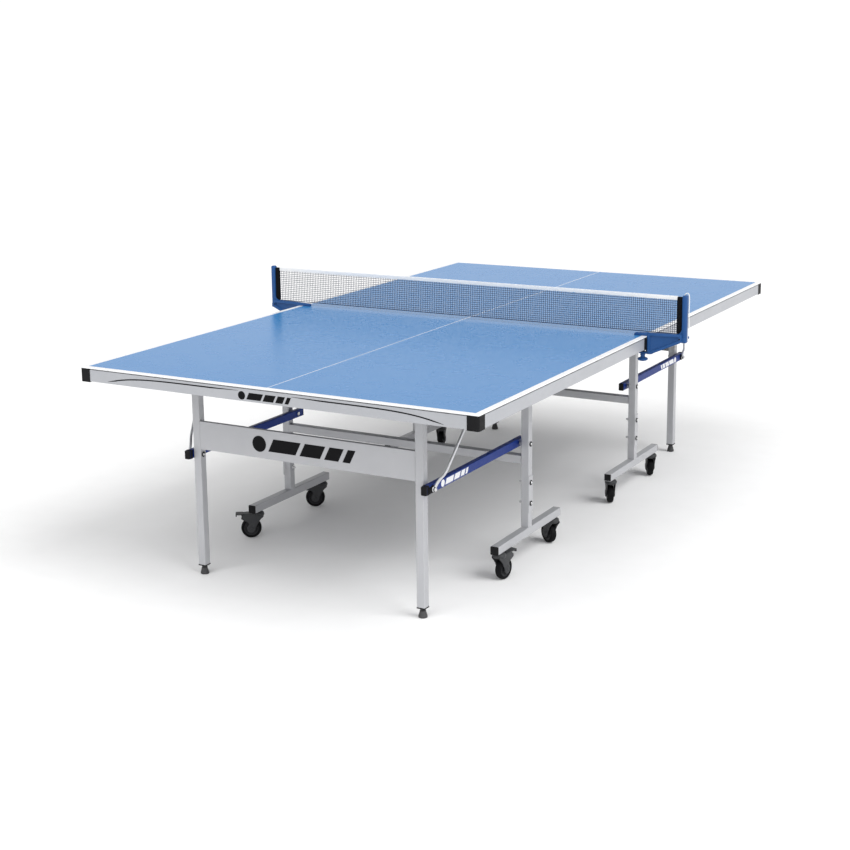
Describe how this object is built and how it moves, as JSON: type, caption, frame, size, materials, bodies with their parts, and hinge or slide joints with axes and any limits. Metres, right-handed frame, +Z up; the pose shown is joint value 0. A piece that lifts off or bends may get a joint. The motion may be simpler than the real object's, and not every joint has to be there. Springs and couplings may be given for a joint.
{
  "type": "ping pong table",
  "caption": "Roll-away table tennis table with folding tabletop halves on wheeled trolleys, linked end legs, levelling feet and a clamp-on net.",
  "frame": {"origin": "on the floor at the middle of the table, under the net", "axes": "+X across the width along the net, +Y along the length towards the far half, +Z up"},
  "size_m": [1.8268, 2.74, 0.9271],
  "materials": {
    "playing_board": "semi-gloss blue coated composite board with white lines",
    "frame_paint": "satin silver-grey powder coat",
    "edge_paint": "satin silver-grey powder coat",
    "bar_paint": "satin royal blue powder coat",
    "black_plastic": "fine grained moulded black plastic",
    "bolt_steel": "zinc plated",
    "stay_steel": "zinc plated",
    "caster_plastic": "dark grey moulded nylon",
    "caster_tyre": "soft black rubber",
    "caster_hub": "dark grey moulded nylon",
    "net_fabric": "open dark blue knotless mesh",
    "net_tape": "woven white cotton tape",
    "net_sleeve": "black woven sleeve",
    "clamp_blue": "semi-gloss moulded blue",
    "cord_white": "braided white cord"
  },
  "bodies": {
    "near_trolley": {"near_upper_posts": "frame_paint", "near_foot_frames": "frame_paint", "near_cross_bar": "frame_paint", "near_foot_caps": "black_plastic", "near_trolley_bolts": "bolt_steel"},
    "near_top": {"near_table_board": "playing_board", "near_edge_frame": "edge_paint", "near_corner_caps": "black_plastic", "near_under_frame": "frame_paint", "net": "net_fabric", "right_net_clamp": "clamp_blue", "left_net_clamp": "clamp_blue", "net_cord": "cord_white"},
    "near_legs": {"near_leg_tubes": "frame_paint", "near_leg_panel": "frame_paint", "near_leg_pivots": "bolt_steel"},
    "near_side_bars": {"near_side_bars": "bar_paint", "near_side_bar_caps": "black_plastic"},
    "near_stay_rods": {"near_stay_rods": "stay_steel"},
    "near_right_leveller": {"near_right_leveller": "black_plastic"},
    "near_left_leveller": {"near_left_leveller": "black_plastic"},
    "far_trolley": {"far_upper_posts": "frame_paint", "far_foot_frames": "frame_paint", "far_cross_bar": "frame_paint", "far_foot_caps": "black_plastic", "far_trolley_bolts": "bolt_steel"},
    "far_top": {"far_table_board": "playing_board", "far_edge_frame": "edge_paint", "far_corner_caps": "black_plastic", "far_under_frame": "frame_paint"},
    "far_legs": {"far_leg_tubes": "frame_paint", "far_leg_panel": "frame_paint", "far_leg_pivots": "bolt_steel"},
    "far_side_bars": {"far_side_bars": "bar_paint", "far_side_bar_caps": "black_plastic"},
    "far_stay_rods": {"far_stay_rods": "stay_steel"},
    "far_right_leveller": {"far_right_leveller": "black_plastic"},
    "far_left_leveller": {"far_left_leveller": "black_plastic"},
    "near_right_outer_caster": {"near_right_outer_fork": "caster_plastic"},
    "near_right_outer_wheel": {"near_right_outer_wheel": "caster_tyre"},
    "near_right_outer_pedal": {"near_right_outer_pedal": "caster_plastic"},
    "near_right_inner_caster": {"near_right_inner_fork": "caster_plastic"},
    "near_right_inner_wheel": {"near_right_inner_wheel": "caster_tyre"},
    "near_left_outer_caster": {"near_left_outer_fork": "caster_plastic"},
    "near_left_outer_wheel": {"near_left_outer_wheel": "caster_tyre"},
    "near_left_outer_pedal": {"near_left_outer_pedal": "caster_plastic"},
    "near_left_inner_caster": {"near_left_inner_fork": "caster_plastic"},
    "near_left_inner_wheel": {"near_left_inner_wheel": "caster_tyre"},
    "far_right_inner_caster": {"far_right_inner_fork": "caster_plastic"},
    "far_right_inner_wheel": {"far_right_inner_wheel": "caster_tyre"},
    "far_right_outer_caster": {"far_right_outer_fork": "caster_plastic"},
    "far_right_outer_wheel": {"far_right_outer_wheel": "caster_tyre"},
    "far_right_outer_pedal": {"far_right_outer_pedal": "caster_plastic"},
    "far_left_inner_caster": {"far_left_inner_fork": "caster_plastic"},
    "far_left_inner_wheel": {"far_left_inner_wheel": "caster_tyre"},
    "far_left_outer_caster": {"far_left_outer_fork": "caster_plastic"},
    "far_left_outer_wheel": {"far_left_outer_wheel": "caster_tyre"},
    "far_left_outer_pedal": {"far_left_outer_pedal": "caster_plastic"},
    "right_clamp_screw": {"right_clamp_screw": "clamp_blue"},
    "left_clamp_screw": {"left_clamp_screw": "clamp_blue"}
  },
  "joints": [
    {"name": "halves_apart", "type": "slide", "parent": "near_trolley", "child": "far_trolley", "axis": [0, 1, 0], "range_m": [0, 0.4]},
    {"name": "near_fold", "type": "hinge", "parent": "near_trolley", "child": "near_top", "pos_m": [0, -0.505, 0.69], "axis": [-1, 0, 0], "range_deg": [0, 90], "deforming": ["net"]},
    {"name": "near_leg_swing", "type": "hinge", "parent": "near_top", "child": "near_legs", "pos_m": [0, -1.144, 0.69], "axis": [-1, 0, 0], "range_deg": [-90, 0]},
    {"name": "near_bar_swing", "type": "hinge", "parent": "near_trolley", "child": "near_side_bars", "pos_m": [0, -0.505, 0.4375], "axis": [-1, 0, 0], "range_deg": [0, 90]},
    {"name": "near_stay_swing", "type": "hinge", "parent": "near_legs", "child": "near_stay_rods", "pos_m": [0, -1.144, 0.4375], "axis": [-1, 0, 0], "range_deg": [0, 140.4]},
    {"name": "near_right_leveller_screw", "type": "slide", "parent": "near_legs", "child": "near_right_leveller", "axis": [0, 0, 1], "range_m": [-0.015, 0]},
    {"name": "near_left_leveller_screw", "type": "slide", "parent": "near_legs", "child": "near_left_leveller", "axis": [0, 0, 1], "range_m": [-0.015, 0]},
    {"name": "far_fold", "type": "hinge", "parent": "far_trolley", "child": "far_top", "pos_m": [0, 0.505, 0.69], "axis": [1, 0, 0], "range_deg": [0, 90]},
    {"name": "far_leg_swing", "type": "hinge", "parent": "far_top", "child": "far_legs", "pos_m": [0, 1.144, 0.69], "axis": [1, 0, 0], "range_deg": [-90, 0]},
    {"name": "far_bar_swing", "type": "hinge", "parent": "far_trolley", "child": "far_side_bars", "pos_m": [0, 0.505, 0.4375], "axis": [1, 0, 0], "range_deg": [0, 90]},
    {"name": "far_stay_swing", "type": "hinge", "parent": "far_legs", "child": "far_stay_rods", "pos_m": [0, 1.144, 0.4375], "axis": [1, 0, 0], "range_deg": [0, 140.4]},
    {"name": "far_right_leveller_screw", "type": "slide", "parent": "far_legs", "child": "far_right_leveller", "axis": [0, 0, 1], "range_m": [-0.015, 0]},
    {"name": "far_left_leveller_screw", "type": "slide", "parent": "far_legs", "child": "far_left_leveller", "axis": [0, 0, 1], "range_m": [-0.015, 0]},
    {"name": "near_right_outer_swivel", "type": "hinge", "parent": "near_trolley", "child": "near_right_outer_caster", "pos_m": [0.507, -0.722, 0.09], "axis": [0, 0, 1], "continuous": true},
    {"name": "near_right_outer_spin", "type": "hinge", "parent": "near_right_outer_caster", "child": "near_right_outer_wheel", "pos_m": [0.51062, -0.69625, 0.0385], "axis": [-0.9903, 0.1392, 0], "continuous": true},
    {"name": "near_right_outer_brake", "type": "hinge", "parent": "near_right_outer_caster", "child": "near_right_outer_pedal", "pos_m": [0.51118, -0.69229, 0.091], "axis": [-0.9903, 0.1392, 0], "range_deg": [0, 8]},
    {"name": "near_right_inner_swivel", "type": "hinge", "parent": "near_trolley", "child": "near_right_inner_caster", "pos_m": [0.507, -0.28, 0.09], "axis": [0, 0, 1], "continuous": true},
    {"name": "near_right_inner_spin", "type": "hinge", "parent": "near_right_inner_caster", "child": "near_right_inner_wheel", "pos_m": [0.48519, -0.26584, 0.0385], "axis": [-0.5446, -0.8387, 0], "continuous": true},
    {"name": "near_left_outer_swivel", "type": "hinge", "parent": "near_trolley", "child": "near_left_outer_caster", "pos_m": [-0.507, -0.722, 0.09], "axis": [0, 0, 1], "continuous": true},
    {"name": "near_left_outer_spin", "type": "hinge", "parent": "near_left_outer_caster", "child": "near_left_outer_wheel", "pos_m": [-0.5283, -0.73691, 0.0385], "axis": [0.5736, -0.8192, 0], "continuous": true},
    {"name": "near_left_outer_brake", "type": "hinge", "parent": "near_left_outer_caster", "child": "near_left_outer_pedal", "pos_m": [-0.53158, -0.73921, 0.091], "axis": [0.5736, -0.8192, 0], "range_deg": [0, 8]},
    {"name": "near_left_inner_swivel", "type": "hinge", "parent": "near_trolley", "child": "near_left_inner_caster", "pos_m": [-0.507, -0.28, 0.09], "axis": [0, 0, 1], "continuous": true},
    {"name": "near_left_inner_spin", "type": "hinge", "parent": "near_left_inner_caster", "child": "near_left_inner_wheel", "pos_m": [-0.52855, -0.29454, 0.0385], "axis": [0.5592, -0.829, 0], "continuous": true},
    {"name": "far_right_inner_swivel", "type": "hinge", "parent": "far_trolley", "child": "far_right_inner_caster", "pos_m": [0.507, 0.28, 0.09], "axis": [0, 0, 1], "continuous": true},
    {"name": "far_right_inner_spin", "type": "hinge", "parent": "far_right_inner_caster", "child": "far_right_inner_wheel", "pos_m": [0.49439, 0.30274, 0.0385], "axis": [-0.8746, -0.4848, 0], "continuous": true},
    {"name": "far_right_outer_swivel", "type": "hinge", "parent": "far_trolley", "child": "far_right_outer_caster", "pos_m": [0.507, 0.722, 0.09], "axis": [0, 0, 1], "continuous": true},
    {"name": "far_right_outer_spin", "type": "hinge", "parent": "far_right_outer_caster", "child": "far_right_outer_wheel", "pos_m": [0.49439, 0.74474, 0.0385], "axis": [-0.8746, -0.4848, 0], "continuous": true},
    {"name": "far_right_outer_brake", "type": "hinge", "parent": "far_right_outer_caster", "child": "far_right_outer_pedal", "pos_m": [0.49246, 0.74824, 0.091], "axis": [-0.8746, -0.4848, 0], "range_deg": [0, 8]},
    {"name": "far_left_inner_swivel", "type": "hinge", "parent": "far_trolley", "child": "far_left_inner_caster", "pos_m": [-0.507, 0.28, 0.09], "axis": [0, 0, 1], "continuous": true},
    {"name": "far_left_inner_spin", "type": "hinge", "parent": "far_left_inner_caster", "child": "far_left_inner_wheel", "pos_m": [-0.494, 0.30252, 0.0385], "axis": [-0.866, 0.5, 0], "continuous": true},
    {"name": "far_left_outer_swivel", "type": "hinge", "parent": "far_trolley", "child": "far_left_outer_caster", "pos_m": [-0.507, 0.722, 0.09], "axis": [0, 0, 1], "continuous": true},
    {"name": "far_left_outer_spin", "type": "hinge", "parent": "far_left_outer_caster", "child": "far_left_outer_wheel", "pos_m": [-0.51589, 0.74643, 0.0385], "axis": [-0.9397, -0.342, 0], "continuous": true},
    {"name": "far_left_outer_brake", "type": "hinge", "parent": "far_left_outer_caster", "child": "far_left_outer_pedal", "pos_m": [-0.51726, 0.75019, 0.091], "axis": [-0.9397, -0.342, 0], "range_deg": [0, 8]},
    {"name": "right_clamp_tighten", "type": "slide", "parent": "near_top", "child": "right_clamp_screw", "axis": [0, 0, 1], "range_m": [-0.004, 0]},
    {"name": "left_clamp_tighten", "type": "slide", "parent": "near_top", "child": "left_clamp_screw", "axis": [0, 0, 1], "range_m": [-0.004, 0]}
  ],
  "couplings": [
    {"joint": "near_leg_swing", "follows": "near_fold", "ratio": -1},
    {"joint": "near_bar_swing", "follows": "near_fold", "ratio": 1},
    {"joint": "near_stay_swing", "follows": "near_fold", "ratio": 1.5548},
    {"joint": "far_leg_swing", "follows": "far_fold", "ratio": -1},
    {"joint": "far_bar_swing", "follows": "far_fold", "ratio": 1},
    {"joint": "far_stay_swing", "follows": "far_fold", "ratio": 1.5548}
  ]
}
